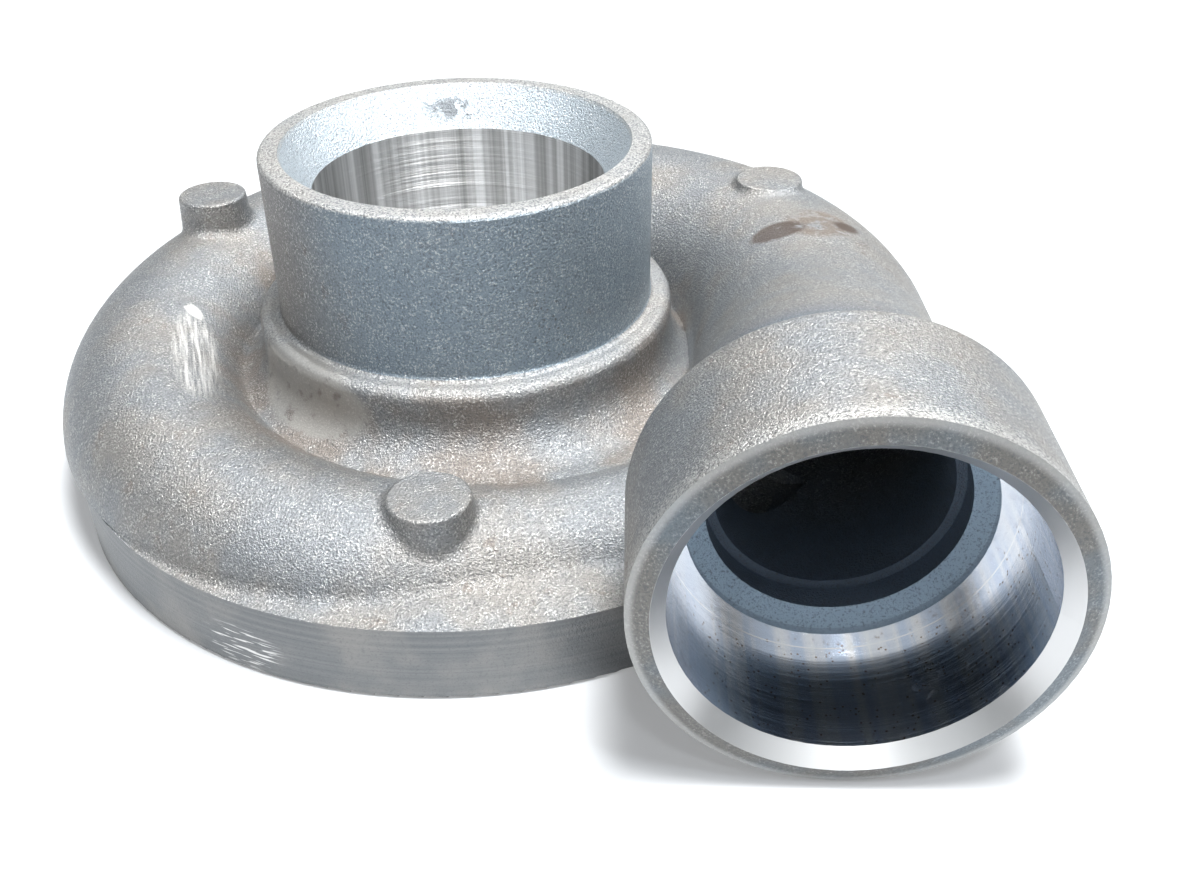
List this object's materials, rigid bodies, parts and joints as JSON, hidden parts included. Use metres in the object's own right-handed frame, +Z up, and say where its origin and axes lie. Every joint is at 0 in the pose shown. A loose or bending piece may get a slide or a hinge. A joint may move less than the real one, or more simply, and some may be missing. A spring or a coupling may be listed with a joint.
{
  "type": "turbo compressor housing",
  "caption": "Cast scroll housing of a turbocharger's compressor: axial inlet tube, spiral air passage, turned base flange and a tangential outlet ring with a bored seat.",
  "frame": {"origin": "where the inlet axis meets the machined underside of the base flange", "axes": "+Z up the inlet axis out of the inlet tube, -Y about along the outlet, +X to the outlet's side"},
  "size_m": [0.2464, 0.264, 0.092],
  "materials": {
    "cast_housing": "shot-blasted casting with turned flange, bores and outlet seat"
  },
  "bodies": {
    "root": {"compressor_housing": "cast_housing"}
  },
  "joints": []
}
